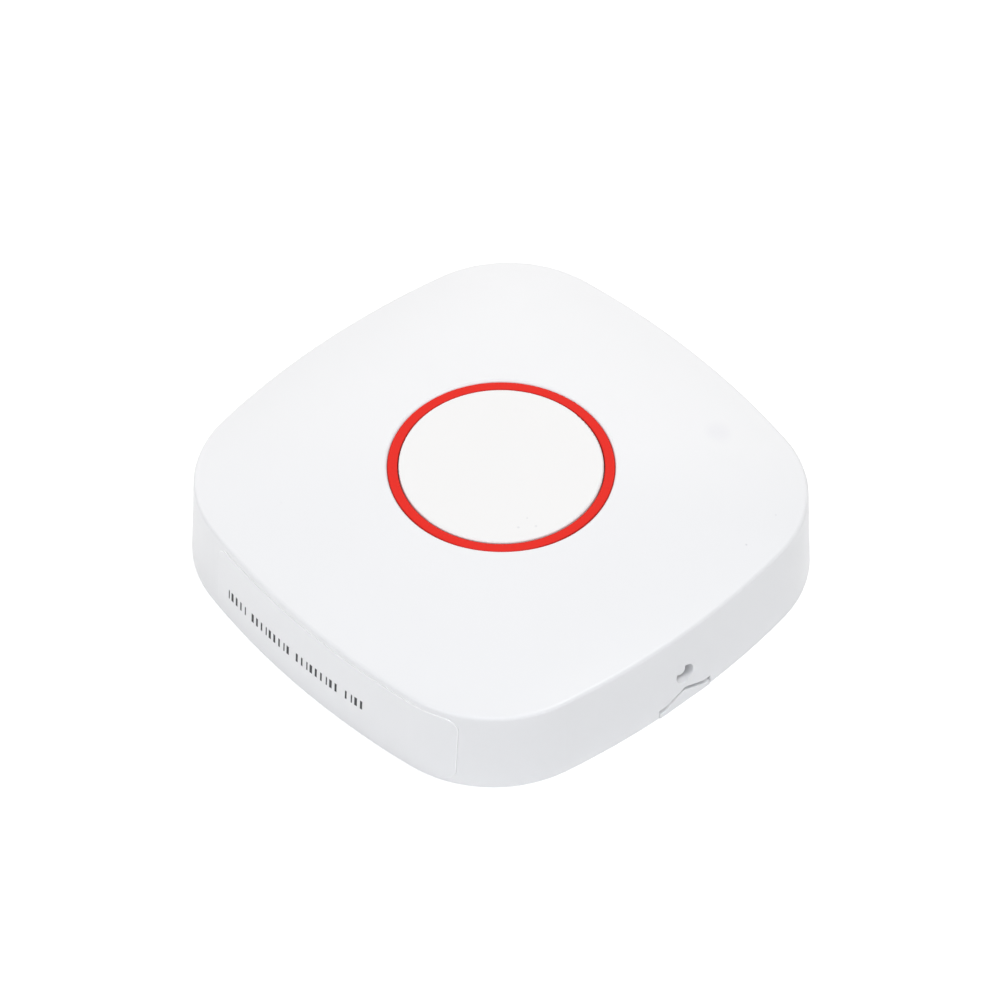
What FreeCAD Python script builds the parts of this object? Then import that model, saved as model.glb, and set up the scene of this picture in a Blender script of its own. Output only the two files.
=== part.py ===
import FreeCAD, Part
import math
import os
import re

import Sketcher

# A small square wireless panic button: a crowned white case with a round push button in its middle,
# inside a red ring. Millimetres. The origin is at the middle of the base, +Z runs up through the
# button, +X faces the wall with the lanyard eyelet and -Y faces the wall with the side label.

SIZES = [
    # Case outline and shell
    ("case_width", 62.0, "across the flats of the base"),
    ("side_arc_radius", 98.0, "bulge of each side in plan"),
    ("corner_arc_radius", 15.4, "corner in plan"),
    ("case_draft", 0.5, "how far each wall leans in from the base to the top edge"),
    ("edge_height", 11.4, "height of the wall's top edge"),
    ("crown_rise", 3.66, "rise of the crown from the top edge to its peak"),
    ("crown_power", 2.5, "how late the crown falls away"),
    ("top_edge_radius", 0.5, "rounding between wall and crown"),
    ("base_edge_radius", 0.25, "rounding under the wall"),
    ("wall_thickness", 1.6, "side wall"),
    ("roof_thickness", 1.8, "crown"),
    # Opening, ring and push button
    ("ring_outer_radius", 13.03, "outside of the red ring"),
    ("ring_width", 1.21, "width of the ring's face"),
    ("ring_sink", 0.046, "ring's face below the crown beside it"),
    ("ring_depth", 1.0, "thickness of the ring"),
    ("ring_edge_radius", 0.12, "rounding of the ring's edges"),
    ("ring_fit", 0.02, "gap between the ring and its seat, all round"),
    ("mouth_radius", 0.3, "rounding of the case round the ring"),
    ("ledge_thickness", 1.14, "ledge that the ring sits on"),
    ("ledge_clearance", 0.4, "gap between the ledge and the button's skirt"),
    ("collar_width", 2.8, "how far the ledge's collar reaches out under the crown"),
    ("button_clearance", 0.1, "gap between the button and the ring"),
    ("button_rise", 0.16, "how far the button's rim stands above the ring"),
    ("button_dome", 0.2, "rise of the button's face from rim to middle"),
    ("button_edge_radius", 0.2, "rounding of the button's rim"),
    ("button_face_thickness", 1.4, "face of the button"),
    ("button_skirt_thickness", 1.2, "skirt of the button"),
    ("button_flange_thickness", 1.0, "flange that keeps the button in the case"),
    ("button_flange_catch", 0.9, "how far the flange reaches under the ledge"),
    ("button_stop_gap", 0.1, "gap between the flange and the ledge at rest"),
    ("button_travel", 0.4, "press of the button"),
    ("button_post_radius", 2.2, "post that presses the switch"),
    ("button_rib_thickness", 0.9, "ribs between post and skirt"),
    ("button_rib_depth", 0.6, "how far the ribs hang from the button's face"),
    ("button_rib_count", 8, "ribs between post and skirt"),
    # Rear cover and its snaps
    ("rear_thickness", 1.6, "plate of the rear cover"),
    ("rear_gap", 0.15, "gap between the rear cover and the wall"),
    ("rim_height", 3.4, "rim of the rear cover above its plate"),
    ("rim_thickness", 1.2, "rim of the rear cover"),
    ("snap_offset", 11.0, "each snap from the middle of its side"),
    ("snap_width", 4.0, "width of a snap"),
    ("snap_reach", 0.5, "how far a snap stands out of the rim"),
    ("snap_height", 1.4, "height of a snap"),
    ("snap_gap", 0.25, "gap round a snap in its pocket"),
    ("brace_height", 0.8, "ring and braces on the inside of the rear cover"),
    ("brace_thickness", 0.9, "ring and braces on the inside of the rear cover"),
    ("mount_spacing", 41.0, "between the two wall screw holes"),
    ("mount_hole_radius", 1.75, "wall screw holes"),
    # Pry notch and lanyard eyelet in the +X wall
    ("notch_half_width", 4.0, "half the width of the pry notch"),
    ("notch_shoulder", 1.35, "height of the notch at its ends"),
    ("notch_apex", 2.5, "height of the notch at its middle"),
    ("notch_slope", 22.0, "slope of the notch's sides in degrees"),
    ("notch_bend_radius", 1.5, "bend from shoulder to slope"),
    ("notch_nose_radius", 0.6, "rounding of the notch's peak"),
    ("tongue_gap", 0.15, "gap between the tongue's ends and the notch"),
    ("tongue_top_gap", 0.7, "gap between the tongue's upper edge and the notch"),
    ("tongue_setback", 0.05, "tongue's face behind the wall's face at the base"),
    ("tongue_lean", 6.0, "lean of the tongue's face into the case, in degrees"),
    ("eyelet_height", 4.72, "middle of the eyelet above the base"),
    ("eyelet_radius", 1.3, "eyelet"),
    ("eyelet_lobe_radius", 0.65, "lobe that makes the eyelet a bean"),
    ("eyelet_lobe_offset", 1.2, "lobe's centre from the eyelet's centre"),
    ("eyelet_lobe_angle", 121.0, "direction of the lobe in degrees"),
    ("lanyard_gap_half_width", 4.6, "half the break in the rim behind the eyelet"),
    ("lanyard_exit_radius", 1.3, "hole in the rear cover where the lanyard comes out"),
    ("lanyard_exit_inset", 4.4, "that hole's centre from the case's side"),
    # Side label in the -Y wall
    ("label_left", 15.3, "label's end towards -X, from the middle"),
    ("label_right", 22.4, "label's end towards +X, from the middle"),
    ("label_bottom", 0.75, "label's lower edge above the base"),
    ("label_top", 10.45, "label's upper edge above the base"),
    ("label_corner_radius", 1.5, "label's corners"),
    ("label_thickness", 0.12, "label"),
    ("label_recess", 0.02, "depth of the label's bed in the wall"),
    ("label_margin", 0.02, "gap round the label in its bed"),
    # Coin cell and its holder, under the board
    ("cell_radius", 12.25, "coin cell"),
    ("cell_height", 5.0, "coin cell"),
    ("cell_cap_radius", 10.6, "negative cap of the cell"),
    ("cell_cap_height", 0.8, "step between the cell's can and its cap"),
    ("cell_edge_radius", 0.5, "rolled edge of the can"),
    ("cell_rear_gap", 0.2, "gap between the cell and the rear cover"),
    ("contact_gap", 0.3, "gap between the cell and the holder's base"),
    ("holder_base", 0.6, "base of the holder"),
    ("holder_wall", 1.4, "wall of the holder"),
    ("holder_clearance", 0.2, "gap between the cell and the holder's wall"),
    ("holder_lip", 0.9, "cell left bare below the holder's wall"),
    ("holder_mouth", 12.0, "finger gap in the holder's wall"),
    ("contact_thickness", 0.2, "sheet of the two contacts"),
    ("contact_width", 3.0, "width of the two contacts"),
    ("contact_foot", 3.0, "soldered foot of the contacts"),
    ("contact_span", 5.0, "from the negative contact's middle to its foot"),
    ("contact_window_gap", 0.4, "gap between a contact and its window in the holder"),
    ("contact_touch", 0.02, "air between a contact and the cell"),
    # Board, screws and bosses
    ("board_thickness", 1.0, "main board"),
    ("board_gap", 1.0, "gap between the board and the wall at the top edge"),
    ("boss_radius", 2.4, "screw bosses under the crown"),
    ("boss_inset", 5.6, "boss axis from the inner corner"),
    ("screw_count", 4, "bosses and board screws"),
    ("rib_offset", 16.5, "each board rib from the middle of its side"),
    ("rib_thickness", 0.9, "ribs that centre the board and stop the rear cover"),
    ("rib_gap", 0.3, "gap between the board and its ribs"),
    ("rib_lift", 0.15, "gap between the rear cover's rim and the ribs"),
    ("screw_radius", 0.95, "shank of a board screw"),
    ("screw_hole_radius", 1.0, "pilot hole in a boss"),
    ("screw_length", 3.4, "shank of a board screw"),
    ("screw_hole_spare", 0.3, "pilot hole beyond the screw's end"),
    ("screw_head_radius", 1.8, "head of a board screw"),
    ("screw_head_height", 1.2, "head of a board screw"),
    ("screw_slot_width", 0.4, "cross recess of a board screw"),
    ("screw_slot_depth", 0.5, "cross recess of a board screw"),
    ("board_hole_radius", 1.2, "screw holes of the board"),
    # Tactile switch
    ("switch_width", 6.2, "switch body"),
    ("switch_corner_radius", 0.5, "corners of the switch body"),
    ("switch_body_height", 2.2, "switch body"),
    ("switch_height", 3.1, "from the board to the top of the plunger"),
    ("switch_frame_thickness", 0.2, "metal frame over the switch body"),
    ("switch_plunger_radius", 1.6, "plunger"),
    ("switch_plunger_flange", 0.4, "how far the plunger's flange stands out"),
    ("switch_plunger_gap", 0.1, "gap round the plunger"),
    ("switch_well_radius", 2.5, "well in the switch body"),
    ("switch_floor", 0.5, "floor of the switch body"),
    ("dome_radius", 2.4, "snap dome"),
    ("dome_flat_height", 0.3, "snap dome when the button is pressed home"),
    ("dome_air", 0.02, "air between snap dome and plunger"),
    ("dome_thickness", 0.1, "sheet of the snap dome"),
    ("terminal_width", 0.7, "switch terminals"),
    ("terminal_thickness", 0.2, "switch terminals"),
    ("terminal_reach", 1.3, "how far a terminal stands out of the body"),
    ("terminal_spacing", 4.5, "between the two terminals on a side"),
    # Light under the crown
    ("light_x", 12.4, "status light"),
    ("light_y", 22.7, "status light"),
    ("light_pipe_radius", 1.1, "light pipe"),
    ("light_pipe_fit", 0.05, "gap round the light pipe"),
    ("light_skin", 0.6, "crown left over the light pipe"),
    ("light_socket_wall", 0.9, "socket round the light pipe"),
    ("light_socket_depth", 1.4, "socket below the crown's underside at the board's side"),
    ("light_air", 0.1, "gap at each end of the light pipe"),
    ("led_length", 1.6, "light emitting diode"),
    ("led_width", 0.8, "light emitting diode"),
    ("led_height", 0.6, "light emitting diode"),
    # Parts on the board's upper face
    ("radio_centre", 20.4, "radio can's centre from the middle, towards -X"),
    ("radio_length", 9.0, "radio can along Y"),
    ("radio_width", 7.6, "radio can along X"),
    ("radio_height", 1.5, "radio can"),
    ("radio_wall", 0.3, "sheet of the radio can"),
    ("chip_centre", 18.6, "processor's centre from the middle, towards +Y"),
    ("chip_width", 5.0, "processor"),
    ("chip_height", 0.9, "processor"),
    ("crystal_length", 3.2, "crystal"),
    ("crystal_width", 1.6, "crystal"),
    ("crystal_height", 0.8, "crystal"),
    ("crystal_gap", 1.6, "between processor and crystal"),
    ("capacitor_centre", 18.4, "row of capacitors from the middle, towards -Y"),
    ("capacitor_length", 1.6, "chip capacitors"),
    ("capacitor_width", 0.8, "chip capacitors"),
    ("capacitor_height", 0.7, "chip capacitors"),
    ("capacitor_pitch", 2.2, "between chip capacitors"),
    ("capacitor_count", 5, "chip capacitors"),
    ("antenna_centre", 22.6, "antenna from the middle, towards -Y"),
    ("antenna_half_length", 11.0, "half the antenna's length"),
    ("antenna_wire_radius", 0.35, "antenna wire"),
    ("antenna_height", 1.1, "antenna wire's centre above the board"),
    ("antenna_bend_radius", 0.7, "bend of the antenna wire"),
]

# Sizes that follow from the sheet, each an expression over its names and over the names above it.
DERIVED = {
    "case_half": "case_width / 2",
    "side_centre": "side_arc_radius - case_half",
    "centre_span": "side_arc_radius - corner_arc_radius",
    "corner_centre": "(sqrt(2 * centre_span ^ 2 - side_centre ^ 2) - side_centre) / 2",
    "corner_reach": "corner_centre * sqrt(2) + corner_arc_radius",
    "mouth_step": "(ring_outer_radius + ring_fit) / (case_half - case_draft)",
    "ring_top": "edge_height + crown_rise * (1 - mouth_step ^ crown_power) - ring_sink",
    "ring_inner_radius": "ring_outer_radius - ring_width",
    "ledge_top": "ring_top - ring_depth",
    "ledge_bottom": "ledge_top - ledge_thickness",
    "button_radius": "ring_inner_radius - button_clearance",
    "crown_end": "button_radius / corner_reach",
    "ledge_radius": "button_radius + ledge_clearance",
    "collar_radius": "ledge_radius + collar_width",
    "button_rim": "ring_top + button_rise",
    "button_ceiling": "button_rim - button_face_thickness",
    "flange_top": "ledge_bottom - button_stop_gap",
    "flange_bottom": "flange_top - button_flange_thickness",
    "flange_radius": "ledge_radius + button_flange_catch",
    "rim_top": "rear_thickness + rim_height",
    "rim_inset": "wall_thickness + rear_gap + case_draft * rim_top / edge_height",
    "plate_inset": "wall_thickness + rear_gap + case_draft * rear_thickness / edge_height",
    "snap_sag": "side_arc_radius - sqrt(side_arc_radius ^ 2 - snap_offset ^ 2)",
    "snap_root": "case_half - snap_sag - rim_inset",
    "snap_foot": "rim_top - snap_height",
    "notch_drop": "(notch_bend_radius + notch_nose_radius) * (1 - cos(notch_slope))",
    "notch_run": "(notch_apex - notch_shoulder - notch_drop) / sin(notch_slope)",
    "notch_bend_x": "(notch_bend_radius + notch_nose_radius) * sin(notch_slope)"
                    " + notch_run * cos(notch_slope)",
    "cell_bottom": "rear_thickness + cell_rear_gap",
    "cell_top": "cell_bottom + cell_height",
    "holder_floor": "cell_top + contact_gap",
    "board_bottom": "holder_floor + holder_base",
    "board_top": "board_bottom + board_thickness",
    "holder_bore": "cell_radius + holder_clearance",
    "holder_radius": "holder_bore + holder_wall",
    "board_inset": "wall_thickness + case_draft + board_gap",
    "rib_face": "sqrt((side_arc_radius - board_inset) ^ 2 - rib_offset ^ 2) - side_centre + rib_gap",
    "rib_root": "sqrt(side_arc_radius ^ 2 - rib_offset ^ 2) - side_centre - wall_thickness / 2",
    "rib_foot": "rim_top + rib_lift",
    "brace_start": "(holder_bore + brace_thickness / 2) / sqrt(2)",
    "brace_end": "(corner_reach - rim_inset - rim_thickness / 2) / sqrt(2)",
    "boss_circle": "corner_reach - wall_thickness - case_draft - boss_inset",
    "switch_top": "board_top + switch_height",
    "switch_body_top": "board_top + switch_body_height",
    "dome_seat": "board_top + switch_floor",
    "dome_height": "dome_flat_height + button_travel",
    "plunger_bottom": "dome_seat + dome_height + dome_air",
    "frame_bottom": "switch_body_top - switch_frame_thickness",
    "plunger_flange_top": "frame_bottom - switch_plunger_gap",
    "led_top": "board_top + led_height",
    "boss_place": "boss_circle / sqrt(2)",
    "boss_step": "boss_circle / (corner_reach - case_draft)",
    "boss_roof": "edge_height + crown_rise * (1 - boss_step ^ crown_power)",
    "light_step": "(light_y + light_x ^ 2 * case_half / (2 * side_arc_radius * light_y))"
                  " / (case_half - case_draft)",
    "light_roof": "edge_height + crown_rise * (1 - light_step ^ crown_power)",
    "light_ceiling": "light_roof - light_skin",
    "light_bore_radius": "light_pipe_radius + light_pipe_fit",
    "light_socket_bottom": "light_roof - roof_thickness - light_socket_depth",
    "eyelet_chord_along": "(eyelet_radius ^ 2 - eyelet_lobe_radius ^ 2 + eyelet_lobe_offset ^ 2)"
                          " / (2 * eyelet_lobe_offset)",
    "eyelet_chord_across": "sqrt(eyelet_radius ^ 2 - eyelet_chord_along ^ 2)",
}

# The crown is lofted through copies of the top edge shrunk by these factors. The last one lies
# inside the button's opening.
CROWN_STEPS = ("1", "0.94", "0.85", "0.72", "0.56", "crown_end")

# The case is the same on each of its sides.
SIDE_COUNT = "4"
# Places nearer than this, in millimetres, are the same place.
SAME_PLACE = 1e-3
# A feature changes its body by at least this many cubic millimetres.
LEAST_CHANGE = 1e-6

doc = FreeCAD.newDocument("panic_button")
sheet = doc.addObject("Spreadsheet::Sheet", "Sizes")
for row, (alias, number, note) in enumerate(SIZES, start=1):
    sheet.set(f"A{row}", alias)
    sheet.set(f"B{row}", str(number))
    sheet.set(f"C{row}", note)
    sheet.setAlias(f"B{row}", alias)
doc.recompute()

ALIASES = {alias for alias, _, _ in SIZES}


def bound(expression):
    """An expression over the names above, written out for a property of another object."""

    def spell(match):
        name = match.group(0)
        if name in DERIVED:
            return "(" + bound(DERIVED[name]) + ")"
        return f"Sizes.{name}" if name in ALIASES else name

    return re.sub(r"[a-z_]+", spell, str(expression))


def value(expression):
    """The number that such an expression gives."""
    return float(sheet.evalExpression(bound(expression)))


def drive(thing, prop, expression):
    """Ties one property to an expression."""
    thing.setExpression(prop, bound(expression))


def new_body(name):
    body = doc.addObject("PartDesign::Body", name)
    body.Label = name
    return body


def origin_part(body, role):
    return next(part for part in body.Origin.OriginFeatures if part.Role == role)


def new_sketch(body, name, role="XY_Plane", offset="0"):
    """A sketch on an origin plane of its body, moved along the plane's normal by an expression."""
    sketch = body.newObject("Sketcher::SketchObject", name)
    sketch.AttachmentSupport = [(origin_part(body, role), "")]
    sketch.MapMode = "FlatFace"
    drive(sketch, "AttachmentOffset.Base.z", offset)
    return sketch


def pin_point(sketch, geometry, position, x, y):
    """Holds a point of a sketch at two expressions."""
    for kind, expression in (("DistanceX", x), ("DistanceY", y)):
        number = sketch.addConstraint(
            Sketcher.Constraint(kind, -1, 1, geometry, position, value(expression)))
        drive(sketch, f"Constraints[{number}]", expression)


def hold_radius(sketch, geometry, radius):
    number = sketch.addConstraint(Sketcher.Constraint("Radius", geometry, value(radius)))
    drive(sketch, f"Constraints[{number}]", radius)


def draw_circle(sketch, x, y, radius):
    centre = FreeCAD.Vector(value(x), value(y), 0)
    circle = sketch.addGeometry(Part.Circle(centre, FreeCAD.Vector(0, 0, 1), value(radius)), False)
    pin_point(sketch, circle, 3, x, y)
    hold_radius(sketch, circle, radius)


def arc_between(start, end, radius, turn):
    """The short arc from start to end, turning left (turn 1) or right (turn -1)."""
    chord = end - start
    rise = math.sqrt(max(radius ** 2 - (chord.Length / 2) ** 2, 0))
    side = FreeCAD.Vector(-chord.y, chord.x, 0).normalize() * turn
    centre = (start + end) * 0.5 + side * rise
    first, last = (start, end) if turn > 0 else (end, start)
    angles = [math.atan2(point.y - centre.y, point.x - centre.x) for point in (first, last)]
    return Part.ArcOfCircle(Part.Circle(centre, FreeCAD.Vector(0, 0, 1), radius), *angles)


def draw_path(sketch, corners, closed=False):
    """Edges through corners. Each is (x, y), or (x, y, radius, turn) where an arc leaves it."""
    places = [FreeCAD.Vector(value(corner[0]), value(corner[1]), 0) for corner in corners]
    edges = []
    for index in range(len(corners) if closed else len(corners) - 1):
        start = places[index]
        end = places[(index + 1) % len(corners)]
        corner = corners[index]
        if len(corner) == 2:
            edge = sketch.addGeometry(Part.LineSegment(start, end), False)
            edges.append((edge, 1, 2))
            continue
        radius, turn = corner[2:]
        edge = sketch.addGeometry(arc_between(start, end, value(radius), turn), False)
        edges.append((edge, 1, 2) if turn > 0 else (edge, 2, 1))
    for index, (edge, first, _) in enumerate(edges):
        if index or closed:
            before, _, before_last = edges[index - 1]
            sketch.addConstraint(
                Sketcher.Constraint("Coincident", before, before_last, edge, first))
        pin_point(sketch, edge, first, corners[index][0], corners[index][1])
        if len(corners[index]) > 2:
            hold_radius(sketch, edge, corners[index][2])
    if not closed:
        edge, _, last = edges[-1]
        pin_point(sketch, edge, last, corners[-1][0], corners[-1][1])


def draw_loop(sketch, corners):
    draw_path(sketch, corners, closed=True)


def draw_box(sketch, left, bottom, right, top, radius=None):
    """A rectangle between four expressions, with round corners where a radius is given."""
    if radius is None:
        draw_loop(sketch, [(left, bottom), (right, bottom), (right, top), (left, top)])
        return
    left_in = f"{left} + {radius}"
    right_in = f"{right} - {radius}"
    bottom_in = f"{bottom} + {radius}"
    top_in = f"{top} - {radius}"
    draw_loop(sketch, [
        (left_in, bottom), (right_in, bottom, radius, 1),
        (right, bottom_in), (right, top_in, radius, 1),
        (right_in, top), (left_in, top, radius, 1),
        (left, top_in), (left, bottom_in, radius, 1)])


def draw_case_outline(sketch, inset, scale="1"):
    """The case's plan: four bulged sides and four round corners, shrunk by scale, then moved in."""
    side = f"({scale} * side_arc_radius - ({inset}))"
    corner = f"({scale} * corner_arc_radius - ({inset}))"
    far = f"({side} * (corner_centre + side_centre) / centre_span - {scale} * side_centre)"
    near = f"({side} * corner_centre / centre_span)"
    draw_loop(sketch, [
        (far, f"-{near}", side, 1), (far, near, corner, 1),
        (near, far, side, 1), (f"-{near}", far, corner, 1),
        (f"-{far}", near, side, 1), (f"-{far}", f"-{near}", corner, 1),
        (f"-{near}", f"-{far}", side, 1), (near, f"-{far}", corner, 1)])


def draw_notch(sketch, end_gap, top_gap):
    """The pry notch in the YZ plane: level shoulders that bend up to a blunt peak."""
    half = f"(notch_half_width - {end_gap})"
    shoulder = f"(notch_shoulder - {top_gap})"
    apex = f"(notch_apex - {top_gap})"
    bend_x = "(notch_bend_x - notch_bend_radius * sin(notch_slope))"
    bend_z = f"({shoulder} + notch_bend_radius * (1 - cos(notch_slope)))"
    nose_x = "(notch_nose_radius * sin(notch_slope))"
    nose_z = f"({apex} - notch_nose_radius * (1 - cos(notch_slope)))"
    foot = "-rear_gap" if end_gap == "0" else "0"
    draw_loop(sketch, [
        (half, foot), (half, shoulder),
        ("notch_bend_x", shoulder, "notch_bend_radius", -1), (bend_x, bend_z),
        (nose_x, nose_z, "notch_nose_radius", 1), (f"-{nose_x}", nose_z),
        (f"-{bend_x}", bend_z, "notch_bend_radius", -1), ("-notch_bend_x", shoulder),
        (f"-{half}", shoulder), (f"-{half}", foot)])


def check_change(body, feature, grows):
    """Stops where a feature left its body's volume as it was, or changed it the wrong way."""
    before = feature.BaseFeature.Shape.Volume if feature.BaseFeature else 0
    doc.recompute()
    change = feature.Shape.Volume - before
    if (change > 0) != grows or abs(change) < LEAST_CHANGE:
        raise RuntimeError(f"{body.Label}: {feature.Name} changed the volume by {change:.4f}")


def extrude(body, sketch, length, cut=False, reverse=False, middle=False):
    """Pads or pockets a sketch by an expression."""
    kind = "PartDesign::Pocket" if cut else "PartDesign::Pad"
    feature = body.newObject(kind, sketch.Name + ("_cut" if cut else "_pad"))
    feature.Profile = sketch
    feature.Reversed = reverse
    feature.Midplane = middle
    drive(feature, "Length", length)
    check_change(body, feature, not cut)
    return feature


def revolve(body, sketch, axis="V_Axis", cut=False):
    """Turns a sketch right round its own upright axis or its first construction line."""
    kind = "PartDesign::Groove" if cut else "PartDesign::Revolution"
    feature = body.newObject(kind, sketch.Name + ("_groove" if cut else "_turned"))
    feature.Profile = sketch
    feature.ReferenceAxis = (sketch, [axis])
    feature.Angle = 360
    check_change(body, feature, not cut)
    return feature


def loft(body, name, sections, cut=False, ruled=False):
    kind = "PartDesign::SubtractiveLoft" if cut else "PartDesign::AdditiveLoft"
    feature = body.newObject(kind, name)
    feature.Profile = sections[0]
    feature.Sections = sections[1:]
    feature.Ruled = ruled
    check_change(body, feature, not cut)
    return feature


def round_edges(body, name, radius, chosen):
    """Fillets each edge of the body that chosen picks."""
    base = body.Tip
    names = [f"Edge{number}" for number, edge in enumerate(base.Shape.Edges, start=1) if chosen(edge)]
    feature = body.newObject("PartDesign::Fillet", name)
    feature.Base = (base, names)
    drive(feature, "Radius", radius)
    doc.recompute()
    return feature


def ring_pattern(body, name, features, count):
    """Copies features round the Z axis."""
    pattern = body.newObject("PartDesign::PolarPattern", name)
    pattern.Originals = features
    pattern.Axis = (origin_part(body, "Z_Axis"), [""])
    pattern.Angle = 360
    drive(pattern, "Occurrences", count)
    body.Tip = pattern
    doc.recompute()
    return pattern


def level(edge, height):
    """True where the whole edge lies at one height."""
    box = edge.BoundBox
    return abs(box.ZMin - height) < SAME_PLACE and abs(box.ZMax - height) < SAME_PLACE


# Case shapes

def crown_sections(body, name, inset, drop):
    """The top edge and its shrunk copies up the crown, moved in by inset and down by drop."""
    sections = []
    for index, step in enumerate(CROWN_STEPS):
        height = f"edge_height + crown_rise * (1 - {step} ^ crown_power) - ({drop})"
        sketch = new_sketch(body, f"{name}_{index}", offset=height)
        draw_case_outline(sketch, f"{step} * case_draft + {inset}", step)
        sections.append(sketch)
    return sections


def case_walls(body, name, inset, bottom="0", top="edge_height", cut=False):
    """A block or hollow with the case's leaning walls, moved in by inset, between two heights."""
    sections = []
    for index, height in enumerate((bottom, top)):
        sketch = new_sketch(body, f"{name}_{index}", offset=height)
        draw_case_outline(sketch, f"case_draft * ({height}) / edge_height + {inset}")
        sections.append(sketch)
    return loft(body, name, sections, cut=cut, ruled=True)


def label_window(name, margin):
    """A block that covers the label's place on the -Y wall, grown by a margin."""
    body = new_body(name)
    sketch = new_sketch(body, f"{name}_outline", "XZ_Plane", offset="corner_centre")
    draw_box(sketch, f"-label_left - {margin}", f"label_bottom - {margin}",
             f"label_right + {margin}", f"label_top + {margin}", f"label_corner_radius + {margin}")
    extrude(body, sketch, "case_half")
    return body


def wall_block(name, inset):
    """A block with the case's walls, moved in by inset."""
    body = new_body(name)
    case_walls(body, f"{name}_walls", inset)
    return body


def boolean(kind, name, base, tool):
    result = doc.addObject(kind, name)
    result.Base = base
    result.Tool = tool
    doc.recompute()
    return result


# Front cover: crowned shell with the button's opening, bosses, snap pockets, notch and eyelet

def make_front_shell():
    body = new_body("front_shell")
    case_walls(body, "outer_walls", "0")
    loft(body, "outer_crown", crown_sections(body, "outer_crown", "0", "0"))
    edge_height = value("edge_height")
    round_edges(body, "top_edge", "top_edge_radius", lambda edge: level(edge, edge_height))
    round_edges(body, "base_edge", "base_edge_radius", lambda edge: level(edge, 0))
    ceiling = "edge_height - roof_thickness"
    case_walls(body, "inner_walls", "wall_thickness", top=ceiling, cut=True)
    loft(body, "inner_crown", crown_sections(body, "inner_crown", "wall_thickness", "roof_thickness"),
         cut=True)
    return body


def add_opening(body):
    collar = new_sketch(body, "collar", offset="ledge_bottom")
    draw_circle(collar, "0", "0", "collar_radius")
    extrude(body, collar, "ledge_thickness")
    passage = new_sketch(body, "button_passage", offset="ledge_bottom - roof_thickness")
    draw_circle(passage, "0", "0", "ledge_radius")
    extrude(body, passage, "crown_rise + 2 * roof_thickness", cut=True, reverse=True)
    seat = new_sketch(body, "ring_seat", offset="ledge_top")
    draw_circle(seat, "0", "0", "ring_outer_radius + ring_fit")
    extrude(body, seat, "crown_rise", cut=True, reverse=True)
    seat_radius = value("ring_outer_radius + ring_fit")
    seat_bottom = value("ledge_top")

    def at_mouth(edge):
        box = edge.BoundBox
        reach = max(abs(box.XMin), abs(box.XMax), abs(box.YMin), abs(box.YMax))
        return box.ZMin > seat_bottom + SAME_PLACE and abs(reach - seat_radius) < SAME_PLACE

    round_edges(body, "mouth", "mouth_radius", at_mouth)


def add_bosses(body):
    """Four bosses under the crown, each with a pilot hole for a board screw."""
    boss = new_sketch(body, "boss", offset="board_top")
    draw_circle(boss, "boss_place", "boss_place", "boss_radius")
    boss_pad = extrude(body, boss, "boss_roof - roof_thickness / 2 - board_top")
    pilot = new_sketch(body, "pilot_hole", offset="board_top")
    draw_circle(pilot, "boss_place", "boss_place", "screw_hole_radius")
    depth = "screw_length - board_thickness + screw_hole_spare"
    pilot_cut = extrude(body, pilot, depth, cut=True, reverse=True)
    ring_pattern(body, "bosses", [boss_pad, pilot_cut], "screw_count")


def add_board_ribs(body):
    """Two ribs inside each wall: they centre the board and stop the rear cover's rim."""
    ribs = new_sketch(body, "board_ribs", offset="rib_foot")
    near = "rib_offset - rib_thickness / 2"
    far = "rib_offset + rib_thickness / 2"
    draw_box(ribs, "rib_face", near, "rib_root", far)
    draw_box(ribs, "rib_face", f"-({far})", "rib_root", f"-({near})")
    pad = extrude(body, ribs, "edge_height - roof_thickness / 2 - rib_foot")
    ring_pattern(body, "all_board_ribs", [pad], SIDE_COUNT)


def add_light_socket(body):
    """A socket under the crown for the light pipe; a thin skin of the crown stays over it."""
    socket = new_sketch(body, "light_socket", offset="light_socket_bottom")
    draw_circle(socket, "light_x", "light_y", "light_bore_radius + light_socket_wall")
    extrude(body, socket, "light_socket_depth + roof_thickness / 2")
    bore = new_sketch(body, "light_bore", offset="light_socket_bottom")
    draw_circle(bore, "light_x", "light_y", "light_bore_radius")
    extrude(body, bore, "light_ceiling - light_socket_bottom", cut=True, reverse=True)


def add_snap_pockets(body):
    """Two pockets inside each wall for the rear cover's snaps."""
    pockets = new_sketch(body, "snap_pockets", offset="snap_foot - snap_gap")
    inner = "snap_root - wall_thickness"
    outer = "snap_root + snap_reach + snap_gap"
    near = "snap_offset - snap_width / 2 - snap_gap"
    far = "snap_offset + snap_width / 2 + snap_gap"
    draw_box(pockets, inner, near, outer, far)
    draw_box(pockets, inner, f"-({far})", outer, f"-({near})")
    cut = extrude(body, pockets, "snap_height + 2 * snap_gap", cut=True, reverse=True)
    ring_pattern(body, "all_snap_pockets", [cut], SIDE_COUNT)


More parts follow.
